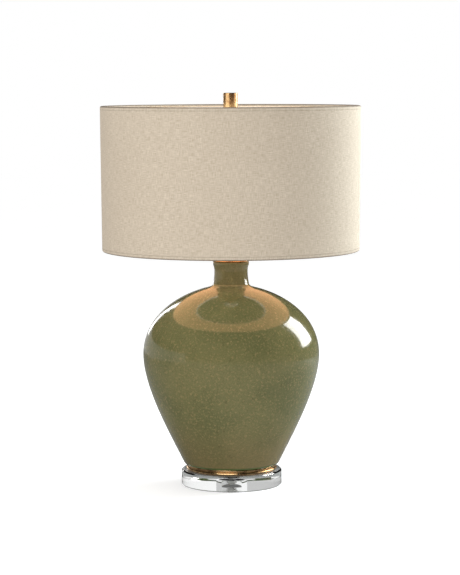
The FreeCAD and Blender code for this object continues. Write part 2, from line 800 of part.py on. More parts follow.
def socket_shell():
    """Drawn brass shell with its rim turned in and a hole for the switch stem."""
    rim_inner = socket_shell_inner - socket_rim_turn_in
    rim_start = socket_shell_top - socket_shell_wall - socket_rim_turn_in
    outline = Outline(socket_shell_inner, socket_shell_bottom).line(socket_shell_radius, socket_shell_bottom)
    outline.line(socket_shell_radius, rim_start).arc_leaving(90, rim_inner, socket_shell_top)
    outline.line(rim_inner, socket_shell_top - socket_shell_wall)
    outline.arc_leaving(0, socket_shell_inner, rim_start)
    return outline.revolved().cut(switch_hole())


def socket_liner():
    """Insulating sleeve inside the shell, holed for the switch stem."""
    top = socket_shell_top - socket_shell_wall - socket_rim_turn_in
    return tube(socket_liner_outer, socket_liner_inner, socket_body_bottom, top).cut(switch_hole())


def socket_body():
    """Moulded switch body: flats at the sides for the terminals, a blind bore for the stem."""
    body = rod(socket_inside, socket_body_bottom, socket_body_top)
    reach = 2 * socket_inside
    flat = box((terminal_seat, reach), (-reach, reach),
               (socket_body_bottom - cut_past, switch_level + terminal_head_radius + terminal_flat_spare))
    hole = rod(terminal_shank_radius + thread_fit, 0, terminal_shank_length + seat_gap)
    hole = placed(hole, Vector(terminal_seat, 0, switch_level), Vector(-1, 0, 0))
    for angle in (0, 180):
        body = body.cut(around_z(flat, angle)).cut(around_z(hole, angle))
    bore = rod(stem_radius + turning_fit, stem_start - seat_gap, reach)
    return body.cut(placed(bore, Vector(0, 0, switch_level), Vector(0, -1, 0)))


def terminal_screws():
    """Two slotted terminal screws, one on each flat of the body."""
    head_top = terminal_head_thickness
    slot = box((-screw_slot_width / 2, screw_slot_width / 2), (-terminal_head_radius, terminal_head_radius),
               (head_top - screw_slot_depth, head_top + cut_past))
    screw = rod(terminal_head_radius, 0, head_top).fuse(rod(terminal_shank_radius, -terminal_shank_length, 0))
    screw = placed(screw.cut(slot), Vector(terminal_seat, 0, switch_level), Vector(1, 0, 0))
    return Part.makeCompound([screw, around_z(screw, 180)])


def screw_shell():
    """Threaded contact cup, drawn plain here, with its foot turned in on the body."""
    top = socket_shell_top - screw_shell_below_rim
    foot_inner = contact_strip_length / 2 + screw_shell_foot_spare
    foot_top_level = socket_body_top + screw_shell_wall
    outline = Outline(foot_inner, socket_body_top).line(screw_shell_outer, socket_body_top)
    outline.line(screw_shell_outer, top).line(screw_shell_inner, top)
    outline.line(screw_shell_inner, foot_top_level).line(foot_inner, foot_top_level)
    return outline.revolved()


def centre_contact():
    """Spring strip: flat on the body, then stepped up under the bulb's tip."""
    half = contact_strip_length / 2
    thick = contact_strip_thickness
    low = socket_body_top
    high = bulb_button_bottom - contact_gap - thick
    end = contact_strip_end
    outline = Outline(-half, low).line(contact_bend_low, low).line(contact_bend_high, high).line(end, high)
    outline.line(end, high + thick).line(contact_bend_high - thick / 2, high + thick)
    outline.line(contact_bend_low - thick / 2, low + thick).line(-half, low + thick)
    strip = outline.face().extrude(Vector(0, contact_strip_width, 0))
    strip.translate(Vector(0, -contact_strip_width / 2, 0))
    return strip


def switch_stem():
    """Round shaft from inside the switch body to inside the knob."""
    return placed(rod(stem_radius, stem_start, stem_end), Vector(0, 0, switch_level), Vector(0, -1, 0))


def switch_knob():
    """Fluted turn knob with a rounded face and a blind bore for the stem."""
    edge = knob_radius - knob_edge_round
    outline = Outline(0, knob_near).line(knob_radius, knob_near)
    outline.line(knob_radius, knob_far - knob_edge_round).arc_leaving(90, edge, knob_far).line(0, knob_far)
    knob = outline.revolved()
    groove = rod(knob_flute_radius, knob_near + knob_collar, knob_far + cut_past)
    groove = moved(groove, knob_radius, 0)
    for flute in range(knob_flutes):
        knob = knob.cut(around_z(groove, flute * 360 / knob_flutes))
    knob = knob.cut(rod(stem_radius + thread_fit, knob_near - cut_past, stem_end + seat_gap))
    return placed(knob, Vector(0, 0, switch_level), Vector(0, -1, 0))


def bulb_throat(inset):
    """Where the ball, moved in by inset, meets the throat, and the throat's upward direction there."""
    angle = math.radians(bulb_throat_angle)
    radius = bulb_radius - inset
    centre = bulb_top - bulb_radius
    point = Vector(radius * math.cos(angle), 0, centre - radius * math.sin(angle))
    return point, Vector(math.sin(angle), 0, math.cos(angle))


def bulb_glass():
    """Blown envelope: ball, throat and neck in one thin wall, open below."""
    neck = Vector(bulb_neck_radius, 0, bulb_glass_bottom)
    inner_neck = neck - Vector(bulb_wall, 0, 0)
    throat, rise = bulb_throat(0)
    inner_throat, rise = bulb_throat(bulb_wall)
    outline = Outline(inner_neck.x, inner_neck.z).line(neck.x, neck.z)
    outline.bezier(neck + AXIS * bulb_neck_pull, throat - rise * bulb_throat_pull, throat)
    outline.arc_arriving(180, 0, bulb_top).line(0, bulb_top - bulb_wall)
    outline.arc_leaving(0, inner_throat.x, inner_throat.z)
    outline.bezier(inner_throat - rise * bulb_throat_pull, inner_neck + AXIS * bulb_neck_pull, inner_neck)
    return outline.revolved()


def bulb_base():
    """Cap of the bulb: plain cylinder in the thread's place, with a collar under the glass."""
    inner = bulb_base_radius - bulb_base_wall
    collar_inner = bulb_collar_radius - bulb_base_wall
    collar_top = bulb_glass_bottom + bulb_collar_height
    outline = Outline(inner, bulb_base_bottom).line(bulb_base_radius, bulb_base_bottom)
    outline.line(bulb_base_radius, bulb_seat).line(bulb_collar_radius, bulb_glass_bottom)
    outline.line(bulb_collar_radius, collar_top).line(collar_inner, collar_top)
    outline.line(collar_inner, bulb_glass_bottom).line(inner, bulb_seat)
    return outline.revolved()


def bulb_insulator():
    """Glass insulator that closes the cap below, bored for the contact's pin."""
    pin_bore = bulb_pin_radius + turning_fit
    rim = bulb_base_radius - bulb_base_wall
    plug_top = bulb_base_bottom + bulb_insulator_height
    outline = Outline(pin_bore, bulb_insulator_bottom).line(bulb_insulator_radius, bulb_insulator_bottom)
    outline.line(rim, bulb_base_bottom).line(rim, plug_top).line(pin_bore, plug_top)
    return outline.revolved()


def bulb_contact():
    """Centre contact: a button below the insulator on a pin."""
    pin_top = bulb_base_bottom + bulb_insulator_height
    outline = Outline(0, bulb_button_bottom).arc_leaving(0, bulb_button_radius, bulb_insulator_bottom)
    outline.line(bulb_pin_radius, bulb_insulator_bottom).line(bulb_pin_radius, pin_top).line(0, pin_top)
    return outline.revolved()


def bulb_stem():
    """Glass mount: a flare closed onto the neck and a narrow stem up to the leads."""
    flare = bulb_neck_radius - bulb_wall - glue_line
    rim_top = bulb_glass_bottom + bulb_collar_height
    stem_top = bulb_glass_bottom + bulb_stem_height
    outline = Outline(0, bulb_glass_bottom).line(flare, bulb_glass_bottom).line(flare, rim_top)
    outline.arc_leaving(180, bulb_stem_radius, rim_top + flare - bulb_stem_radius)
    outline.line(bulb_stem_tip_radius, stem_top).line(0, stem_top)
    return outline.revolved()


def bulb_filament():
    """Two leads out of the stem's top and the filament between them."""
    foot = bulb_glass_bottom + bulb_stem_height + filament_lead_radius
    level = foot + filament_rise
    spread = math.degrees(math.atan2(filament_half_span - 2 * filament_lead_radius, filament_rise))
    lead_length = math.hypot(filament_half_span - 2 * filament_lead_radius, filament_rise)
    coil = placed(rod(filament_radius, -filament_half_span, filament_half_span),
                  Vector(0, 0, level), Vector(1, 0, 0))
    lead = BentWire(filament_lead_radius, foot, spread).run(lead_length).solid(filament_lead_radius)
    return coil.fuse(lead).fuse(around_z(lead, 180))


PIECES = {
    "crystal_foot": crystal_foot,
    "foot_washer": foot_washer,
    "foot_lock_washer": foot_lock_washer,
    "foot_nut": lambda: pipe_nut(foot_nut_bottom),
    "base_ring": base_ring,
    "vase": vase,
    "cord_bushing": cord_bushing,
    "centre_pipe": centre_pipe,
    "vase_cap": vase_cap,
    "neck_spacer": neck_spacer,
    "harp_saddle": harp_saddle,
    "saddle_nut": lambda: pipe_nut(saddle_top),
    "harp": harp,
    "harp_ferrule_left": lambda: harp_ferrule(-1),
    "harp_ferrule_right": lambda: harp_ferrule(1),
    "harp_stud": harp_stud,
    "shade_fabric": shade_fabric,
    "shade_liner": shade_liner,
    "shade_top_ring": lambda: shade_ring(top_roll_level),
    "shade_bottom_ring": lambda: shade_ring(bottom_roll_level),
    "spider": spider,
    "finial": finial,
    "finial_insert": finial_insert,
    "socket_cap": socket_cap,
    "socket_set_screw": socket_set_screw,
    "socket_shell": socket_shell,
    "socket_liner": socket_liner,
    "socket_body": socket_body,
    "terminal_screws": terminal_screws,
    "screw_shell": screw_shell,
    "centre_contact": centre_contact,
    "switch_stem": switch_stem,
    "switch_knob": switch_knob,
    "bulb_glass": bulb_glass,
    "bulb_base": bulb_base,
    "bulb_insulator": bulb_insulator,
    "bulb_contact": bulb_contact,
    "bulb_stem": bulb_stem,
    "bulb_filament": bulb_filament,
}

os.makedirs("parts", exist_ok=True)
for name, make in PIECES.items():
    make().exportStep(f"parts/{name}.step")
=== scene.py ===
import math
import random

import bpy
from mathutils import Matrix, Vector


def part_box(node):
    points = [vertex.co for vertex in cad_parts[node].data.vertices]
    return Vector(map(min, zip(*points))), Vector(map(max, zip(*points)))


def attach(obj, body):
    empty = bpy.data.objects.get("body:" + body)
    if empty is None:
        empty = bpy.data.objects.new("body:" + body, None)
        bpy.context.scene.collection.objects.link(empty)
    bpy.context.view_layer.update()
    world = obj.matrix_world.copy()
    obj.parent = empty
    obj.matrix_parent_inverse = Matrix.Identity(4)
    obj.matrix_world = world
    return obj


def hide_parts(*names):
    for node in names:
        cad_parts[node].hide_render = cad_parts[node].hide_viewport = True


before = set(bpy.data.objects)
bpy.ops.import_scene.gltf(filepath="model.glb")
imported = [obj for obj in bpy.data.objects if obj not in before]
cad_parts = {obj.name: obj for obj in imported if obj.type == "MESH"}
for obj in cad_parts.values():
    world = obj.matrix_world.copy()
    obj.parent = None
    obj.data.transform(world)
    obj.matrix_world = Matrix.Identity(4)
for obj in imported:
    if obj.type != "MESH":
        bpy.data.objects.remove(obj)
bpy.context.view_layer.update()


# ---- Camera ----
# A long lens well back from the lamp and a little above the shade's rim, tipped down at the vase
# and turned by a fifth of a degree, as the lamp was photographed.
camera_distance = 3.704
camera_height = 0.7155
camera_tip_down = math.radians(5.635)
camera_roll = math.radians(-0.2)
camera_side = -0.0018
lens_length = 132.06
film_long_side = 36.0

camera_data = bpy.data.cameras.new("camera")
camera_data.lens = lens_length
camera_data.sensor_width = film_long_side
camera_data.clip_start = 0.05
camera_data.clip_end = 60
camera = bpy.data.objects.new("camera", camera_data)
tipped = Matrix.Rotation(math.pi / 2 - camera_tip_down, 4, "X") @ Matrix.Rotation(camera_roll, 4, "Z")
camera.matrix_world = Matrix.Translation((camera_side, -camera_distance, camera_height)) @ tipped
bpy.context.scene.collection.objects.link(camera)
bpy.context.scene.camera = camera
bpy.context.scene.view_settings.view_transform = "Standard"


# ---- Studio ----
# A white sweep and floor, a soft lamp at the front left and another at the right, small lamps for
# the brass, and a softbox, grey flags and dark cloth that only gloss and clear glass pick up.
def linear(*steps):
    """A colour given in display steps of 0 to 255, as the light level that a shader wants."""
    shares = [step / 255 for step in steps]
    return tuple(s / 12.92 if s <= 0.04045 else ((s + 0.055) / 1.055) ** 2.4 for s in shares) + (1.0,)


class Field:
    """A value that varies over a surface. Arithmetic written on it in Python adds Math nodes."""

    def __init__(self, recipe, socket):
        self.recipe = recipe
        self.socket = socket

    def math(self, operation, *values):
        return self.recipe.node("ShaderNodeMath", 0, {"operation": operation}, dict(enumerate(values)))

    def __add__(self, other):
        return self.math("ADD", self, other)

    def __sub__(self, other):
        return self.math("SUBTRACT", self, other)

    def __mul__(self, other):
        return self.math("MULTIPLY", self, other)

    def __pow__(self, other):
        return self.math("POWER", self, other)

    def size(self):
        return self.math("ABSOLUTE", self)

    def between(self, low, high, start=0.0, end=1.0):
        """Runs smoothly from start to end as this value goes from low to high."""
        ends = {"Value": self, "From Min": low, "From Max": high, "To Min": start, "To Max": end}
        return self.recipe.node("ShaderNodeMapRange", 0, {"interpolation_type": "SMOOTHSTEP"}, ends)


class Recipe:
    """The nodes of one material, or of the world."""

    def __init__(self, name, holder=None):
        self.holder = holder or bpy.data.materials.new(name)
        self.holder.use_nodes = True
        self.tree = self.holder.node_tree
        self.tree.nodes.clear()

    def node(self, kind, output=0, settings=None, sockets=None):
        """Adds a node: first its settings, then the values or links of its sockets."""
        made = self.tree.nodes.new(kind)
        for name, value in (settings or {}).items():
            setattr(made, name, value)
        for name, value in (sockets or {}).items():
            socket = self.find(made.inputs, name)
            if isinstance(value, Field):
                self.tree.links.new(value.socket, socket)
            else:
                socket.default_value = value
        return Field(self, self.find(made.outputs, output))

    def find(self, sockets, name):
        if isinstance(name, int):
            return sockets[name]
        return next(s for s in sockets if s.name == name and s.enabled)

    def blend(self, share, first, second):
        """The second colour laid over the first by a share of 0 to 1."""
        sockets = {"Factor": share, "A": first, "B": second}
        return self.node("ShaderNodeMix", "Result", {"data_type": "RGBA"}, sockets)

    def place(self):
        """Where a point of the piece is, in metres, in the lamp's own frame."""
        return self.node("ShaderNodeTexCoord", "Object")

    def split(self, vector):
        parts = self.node("ShaderNodeSeparateXYZ", "X", None, {"Vector": vector}).socket.node.outputs
        return [Field(self, part) for part in parts]

    def join(self, x, y, z):
        return self.node("ShaderNodeCombineXYZ", 0, None, {"X": x, "Y": y, "Z": z})

    def noise(self, where, scale, detail=2.0, roughness=0.5, output="Fac"):
        sockets = {"Vector": where, "Scale": scale, "Detail": detail, "Roughness": roughness}
        return self.node("ShaderNodeTexNoise", output, None, sockets)

    def cell_edges(self, where, scale):
        """How far a point lies from the nearest edge of an irregular cell."""
        sockets = {"Vector": where, "Scale": scale}
        return self.node("ShaderNodeTexVoronoi", "Distance", {"feature": "DISTANCE_TO_EDGE"}, sockets)

    def bumps(self, height, depth):
        """A fine relief: a height of 1 stands out by depth, in metres."""
        sockets = {"Height": height, "Strength": 1.0, "Distance": depth}
        return self.node("ShaderNodeBump", "Normal", None, sockets)

    def ray(self, kind):
        return self.node("ShaderNodeLightPath", kind)

    def principled(self, **sockets):
        names = {name.replace("_", " "): value for name, value in sockets.items()}
        return self.node("ShaderNodeBsdfPrincipled", 0, None, names)

    def finish(self, surface, kind="ShaderNodeOutputMaterial"):
        output = self.tree.nodes.new(kind)
        self.tree.links.new(surface.socket, output.inputs["Surface"])
        return self.holder


def mesh_piece(name, points, faces, material):
    """A smooth piece from its points and faces, with one material."""
    mesh = bpy.data.meshes.new(name)
    mesh.from_pydata([tuple(p) for p in points], [], faces)
    mesh.materials.append(material)
    mesh.polygons.foreach_set("use_smooth", [True] * len(faces))
    mesh.update()
    piece = bpy.data.objects.new(name, mesh)
    bpy.context.scene.collection.objects.link(piece)
    return piece


world_light = 0.74
sweep = Recipe("sweep", bpy.data.worlds.new("sweep"))
in_glass = sweep.ray("Is Transmission Ray")
seen = in_glass.math("MAXIMUM", sweep.ray("Is Camera Ray"), sweep.ray("Is Glossy Ray"))
level = seen * (1.0 - world_light) + world_light
white_sweep = sweep.node("ShaderNodeBackground", 0, None, {"Color": (1, 1, 1, 1), "Strength": level})
bpy.context.scene.world = sweep.finish(white_sweep, "ShaderNodeOutputWorld")

floor_half_side = 12.0
floor_lift = 0.37
floor_lift_through_glass = 0.05
floor_drop = 0.0003
floor_dark_in_gloss = 0.8
floor_paint = Recipe("floor_paint")
floor_tone = floor_paint.noise(floor_paint.place(), 3.0)
floor_white = floor_paint.blend(floor_tone, (0.84, 0.84, 0.84, 1), (0.86, 0.86, 0.86, 1))
# Seen in gloss, the white floor is painted nearly black: a painted dark reflection in glaze and brass.
dark_in_reflections = floor_paint.ray("Is Glossy Ray") * floor_dark_in_gloss
floor_colour = floor_paint.blend(dark_in_reflections, floor_white, (0.10, 0.095, 0.085, 1))
painted = floor_paint.principled(Base_Color=floor_colour, Roughness=1.0, Specular_IOR_Level=0.0)
lift_through_glass = floor_paint.ray("Is Transmission Ray") * floor_lift_through_glass
lift = floor_paint.ray("Is Camera Ray") * floor_lift + lift_through_glass
glow = floor_paint.node("ShaderNodeEmission", 0, None, {"Color": (1, 1, 1, 1), "Strength": lift})
floor_surface = floor_paint.node("ShaderNodeAddShader", 0, None, {0: painted, 1: glow})
corners = [(-1, -1), (1, -1), (1, 1), (-1, 1)]
floor_points = [(x * floor_half_side, y * floor_half_side, -floor_drop) for x, y in corners]
floor = mesh_piece("floor", floor_points, [(0, 1, 2, 3)], floor_paint.finish(floor_surface))


def compass(azimuth, distance, height):
    """A place round the lamp: azimuth 0 is the camera's side, 90 the right."""
    turned = math.radians(azimuth)
    return Vector((distance * math.sin(turned), -distance * math.cos(turned), height))


def area_lamp(name, where, aim, width, height, power):
    """A rectangular lamp that stands at a place and faces another."""
    data = bpy.data.lights.new(name, "AREA")
    data.shape = "RECTANGLE"
    data.size = width
    data.size_y = height
    data.energy = power
    lamp = bpy.data.objects.new(name, data)
    lamp.location = where
    lamp.rotation_euler = (Vector(aim) - where).to_track_quat("-Z", "Y").to_euler()
    bpy.context.scene.collection.objects.link(lamp)
    return lamp


def soft_lamp(name, where, width, height, power, colour):
    """A lamp that lights the surfaces of the whole lamp but leaves no highlight of its own."""
    lamp = area_lamp(name, where, (0, 0, 0.38), width, height, power)
    lamp.data.color = colour
    lamp.visible_glossy = False
    lamp.visible_transmission = False


def glint_lamp(name, where, aim, width, height, power, node):
    """A small lamp whose light and highlight fall on one piece alone."""
    lamp = area_lamp(name, where, aim, width, height, power)
    lit = bpy.data.collections.new(name)
    lit.objects.link(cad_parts[node])
    lamp.light_linking.receiver_collection = lit


def only_in_gloss(card, through_glass=False):
    """Hides a card from all but mirrored rays, and those through glass where asked."""
    card.visible_camera = False
    card.visible_diffuse = False
    card.visible_shadow = False
    card.visible_transmission = through_glass
    card.visible_volume_scatter = False


def glowing(name, colour, strength):
    recipe = Recipe(name)
    glow = recipe.node("ShaderNodeEmission", 0, None, {"Color": colour, "Strength": strength})
    return recipe.finish(glow)


def wall_card(name, from_azimuth, to_azimuth, distance, low, high, colour, strength, through_glass=False):
    """A curved card that stands round the lamp, seen only in gloss."""
    degrees_a_step = 5
    steps = max(2, round((to_azimuth - from_azimuth) / degrees_a_step))
    points = []
    for step in range(steps + 1):
        azimuth = from_azimuth + (to_azimuth - from_azimuth) * step / steps
        points += [compass(azimuth, distance, low), compass(azimuth, distance, high)]
    faces = [(2 * s, 2 * s + 2, 2 * s + 3, 2 * s + 1) for s in range(steps)]
    card = mesh_piece(name, points, faces, glowing(name, colour, strength))
    only_in_gloss(card, through_glass)


soft_lamp("key_lamp", compass(-35, 2.6, 1.5), width=1.6, height=1.6, power=31.0, colour=(1.0, 0.985, 0.96))
soft_lamp("side_lamp", compass(118, 1.5, 1.1), width=0.9, height=1.8, power=48.0, colour=(0.86, 0.95, 1.0))

ring_middle = (0, 0, 0.03)
finial_middle = (0, 0, 0.67)
ring_lamps = {"aim": ring_middle, "height": 0.6, "node": "base_ring"}
finial_lamps = {"aim": finial_middle, "height": 0.5, "node": "finial"}
glint_lamp("ring_front", compass(-14, 1.2, 0.75), width=1.1, power=12.0, **ring_lamps)
glint_lamp("ring_side", compass(98, 1.2, 0.75), width=0.8, power=4.5, **ring_lamps)
glint_lamp("finial_band", compass(-48, 1.6, 0.80), width=1.7, power=6.0, **finial_lamps)
glint_lamp("finial_edge", compass(88, 1.6, 0.80), width=1.4, power=5.0, **finial_lamps)

neutral = (1, 1, 1, 1)
set_radius = 6.0
set_height = 4.2
wall_card("dark_cloth", 0, 360, set_radius, -0.1, set_height, neutral, 0.035)
ceiling_points = [compass(azimuth, set_radius, set_height) for azimuth in range(0, 360, 15)]
ceiling_faces = [tuple(range(len(ceiling_points)))]
ceiling = mesh_piece("dark_ceiling", ceiling_points, ceiling_faces, glowing("dark_ceiling", neutral, 0.03))
only_in_gloss(ceiling)
softbox_white = (1.0, 0.99, 0.97, 1)
wall_card("side_softbox", 104, 132, 1.5, low=0.42, high=1.75, colour=softbox_white, strength=13.0)
wall_card("rim_strip", -158, -152, 1.6, low=0.30, high=2.2, colour=neutral, strength=7.0)
flags = {"distance": 2.4, "low": 0.0, "through_glass": True}
wall_card("left_flag", -176, -60, high=0.6, colour=neutral, strength=0.60, **flags)
wall_card("right_flag", 66, 150, high=0.30, colour=(0.66, 0.64, 0.60, 1), strength=0.30, **flags)


# ---- Crystal foot ----
# A disc of clear optical crystal, 7 inches across and just over an inch thick, its edges ground
# and polished, drilled for the lamp pipe and counterbored below for the nut.
crystal = Recipe("clear_crystal")
polish_waves = crystal.noise(crystal.place(), 42.0, 1.0)
crystal_surface = crystal.principled(
    Base_Color=crystal.blend(polish_waves, (0.985, 0.99, 0.985, 1), (0.97, 0.98, 0.975, 1)),
    Roughness=0.0,
    IOR=1.52,
    Transmission_Weight=1.0,
    Normal=crystal.bumps(polish_waves, 0.00004),
)
clear_crystal = crystal.finish(crystal_surface)


def dress(material, *nodes):
    """Gives a construction piece its finish."""
    for name in nodes:
        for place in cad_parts[name].material_slots:
            place.material = material


dress(clear_crystal, "crystal_foot")
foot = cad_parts["crystal_foot"]
foot.visible_shadow = False
foot.visible_diffuse = False


# ---- Pipe, nuts and washers ----
# Zinc-plated steel: the threaded lamp pipe runs from the foot to the socket and clamps the whole
# lamp between the nut in the foot and the nut on the harp's saddle.
steel = Recipe("zinc_steel")
zinc_cloud = steel.noise(steel.place(), 160.0, 3.0)
steel_surface = steel.principled(
    Base_Color=steel.blend(zinc_cloud, linear(168, 168, 166), linear(196, 195, 190)),
    Metallic=1.0,
    Roughness=zinc_cloud.between(0.3, 0.7, 0.26, 0.4),
    Normal=steel.bumps(steel.noise(steel.place(), 1500.0), 0.00002),
)
zinc_steel = steel.finish(steel_surface)
dress(zinc_steel, "foot_washer", "foot_lock_washer", "foot_nut", "centre_pipe", "saddle_nut")


# ---- Brass turnings ----
# Base ring, vase cap, neck spacer and finial are turned brass, browned with a patina and lacquered,
# with the lathe's fine rings left in the surface.
def turned_brass(name, bright, worn, roughness):
    recipe = Recipe(name)
    where = recipe.place()
    x, y, z = recipe.split(where)
    out = (x * x + y * y) ** 0.5
    lathe = recipe.noise(recipe.join(out, 0.0, z), 2600.0, 2.0)
    patina = recipe.noise(where, 70.0, 4.0, 0.6)
    stain = patina.between(0.42, 0.68)
    surface = recipe.principled(
        Base_Color=recipe.blend(stain, bright, worn),
        Metallic=1.0,
        Roughness=stain * 0.08 + lathe * 0.06 + roughness,
        Normal=recipe.bumps(lathe, 0.000004),
    )
    return recipe.finish(surface)


antique_brass = turned_brass("antique_brass", linear(206, 172, 124), linear(150, 116, 80), 0.17)
dress(antique_brass, "base_ring", "vase_cap", "neck_spacer", "finial")


# ---- Vase ----
# Slip-cast stoneware in an olive reactive glaze: green over tan speckle, a fine crackle, browner
# towards the foot and near the neck, and pooled in a green line on the bottom edge.
glaze = Recipe("olive_crackle_glaze")
clay_place = glaze.place()
vase_x, vase_y, vase_z = glaze.split(clay_place)
vase_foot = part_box("vase")[0].z
pool_start = vase_foot + 0.0045
pool_full = vase_foot + 0.002
brown_from = vase_foot + 0.11
shoulder_top = 0.33
neck_start = 0.36

drift = glaze.noise(clay_place, 9.0, 3.0, 0.55)
mottle = glaze.noise(clay_place, 260.0, 4.0, 0.65)
speck = glaze.noise(clay_place, 900.0, 2.0, 0.6)
green = glaze.blend(drift.between(0.35, 0.65), linear(94, 94, 60), linear(108, 104, 68))
tan_share = mottle.between(0.50, 0.70) * 0.85
mottled = glaze.blend(tan_share, green, linear(138, 122, 82))
dark_share = speck.between(0.56, 0.70) * 0.55
specked = glaze.blend(dark_share, mottled, linear(70, 66, 38))

low_brown = vase_z.between(brown_from, vase_foot)
neck_brown = vase_z.between(shoulder_top, neck_start, 0.0, 0.35)
brown_share = (low_brown * 0.45 + neck_brown) * drift.between(0.2, 0.7, 0.6, 1.2)
browned = glaze.blend(brown_share, specked, linear(112, 92, 60))
pooled = vase_z.between(pool_start, pool_full, 0.0, 0.85)
glazed = glaze.blend(pooled, browned, linear(66, 84, 40))

crackle_cells_a_metre = 190.0
crackle_sway = 0.006
crack_width = 0.045
sway_colour = glaze.noise(clay_place, 60.0, 2.0, output="Color")
sway_sockets = {0: sway_colour, 1: (crackle_sway,) * 3, 2: clay_place}
swayed = glaze.node("ShaderNodeVectorMath", 0, {"operation": "MULTIPLY_ADD"}, sway_sockets)
crack = glaze.cell_edges(swayed, crackle_cells_a_metre).between(0.0, crack_width, 1.0, 0.0)
lined = glaze.blend(crack * 0.38, glazed, linear(58, 54, 32))
glaze_surface = glaze.principled(
    Base_Color=lined,
    Roughness=0.06,
    IOR=1.5,
    Normal=glaze.bumps(crack * -0.6 + mottle * 0.25, 0.00003),
)
dress(glaze.finish(glaze_surface), "vase")


# ---- Cord bushing, socket body and knob ----
# Black moulded plastic with the faint pebble of a spark-eroded mould.
moulding = Recipe("black_plastic")
pebble = moulding.noise(moulding.place(), 2200.0, 2.0)
moulding_surface = moulding.principled(
    Base_Color=moulding.blend(pebble, linear(26, 26, 27), linear(38, 38, 39)),
    Roughness=pebble.between(0.3, 0.7, 0.34, 0.5),
    Normal=moulding.bumps(pebble, 0.00003),
)
dress(moulding.finish(moulding_surface), "cord_bushing", "socket_body", "switch_knob")


# ---- Harp, saddle, socket shell and spider ----
# Stamped and bent brass-plated steel, bright, with faint drawing lines from the dies.
plated_brass = turned_brass("plated_brass", linear(226, 188, 120), linear(206, 164, 98), 0.2)
plated = [
    "harp_saddle", "harp", "harp_ferrule_left", "harp_ferrule_right", "harp_stud", "socket_cap",
    "socket_shell", "terminal_screws", "switch_stem", "finial_insert", "spider",
    "shade_top_ring", "shade_bottom_ring",
]
dress(plated_brass, *plated)
dress(zinc_steel, "socket_set_screw")


# ---- Socket's inside ----
# A brown fibre sleeve inside the shell, and a threaded nickel-plated shell with its centre contact,
# both stamped from thin sheet.
sleeve = Recipe("sleeve_board")
fibre = sleeve.noise(sleeve.place(), 800.0, 4.0, 0.7)
sleeve_surface = sleeve.principled(
    Base_Color=sleeve.blend(fibre, linear(92, 66, 44), linear(126, 96, 68)),
    Roughness=fibre.between(0.3, 0.7, 0.7, 0.85),
    Normal=sleeve.bumps(fibre, 0.00005),
)
dress(sleeve.finish(sleeve_surface), "socket_liner")


def bright_metal(name, light, dark, roughness):
    recipe = Recipe(name)
    haze = recipe.noise(recipe.place(), 420.0, 3.0)
    surface = recipe.principled(
        Base_Color=recipe.blend(haze, light, dark),
        Metallic=1.0,
        Roughness=haze.between(0.3, 0.7, roughness, roughness + 0.1),
        Normal=recipe.bumps(recipe.noise(recipe.place(), 2400.0), 0.00001),
    )
    return recipe.finish(surface)


nickel_brass = bright_metal("nickel_brass", linear(206, 203, 194), linear(186, 182, 172), 0.2)
dress(nickel_brass, "screw_shell", "centre_contact", "bulb_contact")


# ---- Bulb ----
# A frosted A19 bulb on a nickel-plated E26 cap with a black glass insulator.
frost = Recipe("frosted_glass")
frost_grain = frost.noise(frost.place(), 3000.0)
frost_surface = frost.principled(
    Base_Color=frost.blend(frost_grain, (0.93, 0.92, 0.90, 1), (0.97, 0.96, 0.94, 1)),
    Roughness=frost_grain.between(0.3, 0.7, 0.42, 0.5),
    IOR=1.5,
    Transmission_Weight=0.35,
)
dress(frost.finish(frost_surface), "bulb_glass")
dress(bright_metal("cap_aluminium", linear(204, 205, 206), linear(180, 181, 183), 0.28), "bulb_base")
dress(bright_metal("filament_metal", linear(120, 118, 116), linear(96, 94, 92), 0.35), "bulb_filament")


def plain_glass(name, light, dark, clearness, roughness):
    recipe = Recipe(name)
    streak = recipe.noise(recipe.place(), 300.0, 2.0)
    surface = recipe.principled(
        Base_Color=recipe.blend(streak, light, dark),
        Roughness=roughness,
        IOR=1.5,
        Transmission_Weight=clearness,
        Normal=recipe.bumps(streak, 0.00002),
    )
    return recipe.finish(surface)


dress(plain_glass("mount_glass", (0.95, 0.96, 0.95, 1), (0.90, 0.92, 0.91, 1), 1.0, 0.02), "bulb_stem")
dress(plain_glass("black_glass", linear(18, 18, 22), linear(34, 33, 38), 0.0, 0.12), "bulb_insulator")


# ---- Shade liner and fabric ----
# A drum of beige linen laminated to a white styrene sheet, rolled over two wire rings. The cloth's
# ends lap at the back, and its hems are tucked under the rings.
styrene = Recipe("white_styrene")
styrene_cloud = styrene.noise(styrene.place(), 30.0)
styrene_surface = styrene.principled(
    Base_Color=styrene.blend(styrene_cloud, linear(236, 232, 222), linear(242, 239, 231)),
    Roughness=0.6,
    Specular_IOR_Level=0.05,
    # The liner glows a warm white of itself though it is no lamp: painted light, as of a shade lit from
    # within.
    Emission_Color=(1.0, 0.97, 0.92, 1.0),
    Emission_Strength=0.40,
)
dress(styrene.finish(styrene_surface), "shade_liner")

fabric_low, fabric_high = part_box("shade_fabric")
fabric_thickness = 0.0008
drum_radius = fabric_high.x
drum_taper = 0.002
wire_roll = 0.0031
roll_middle = wire_roll - fabric_thickness / 2

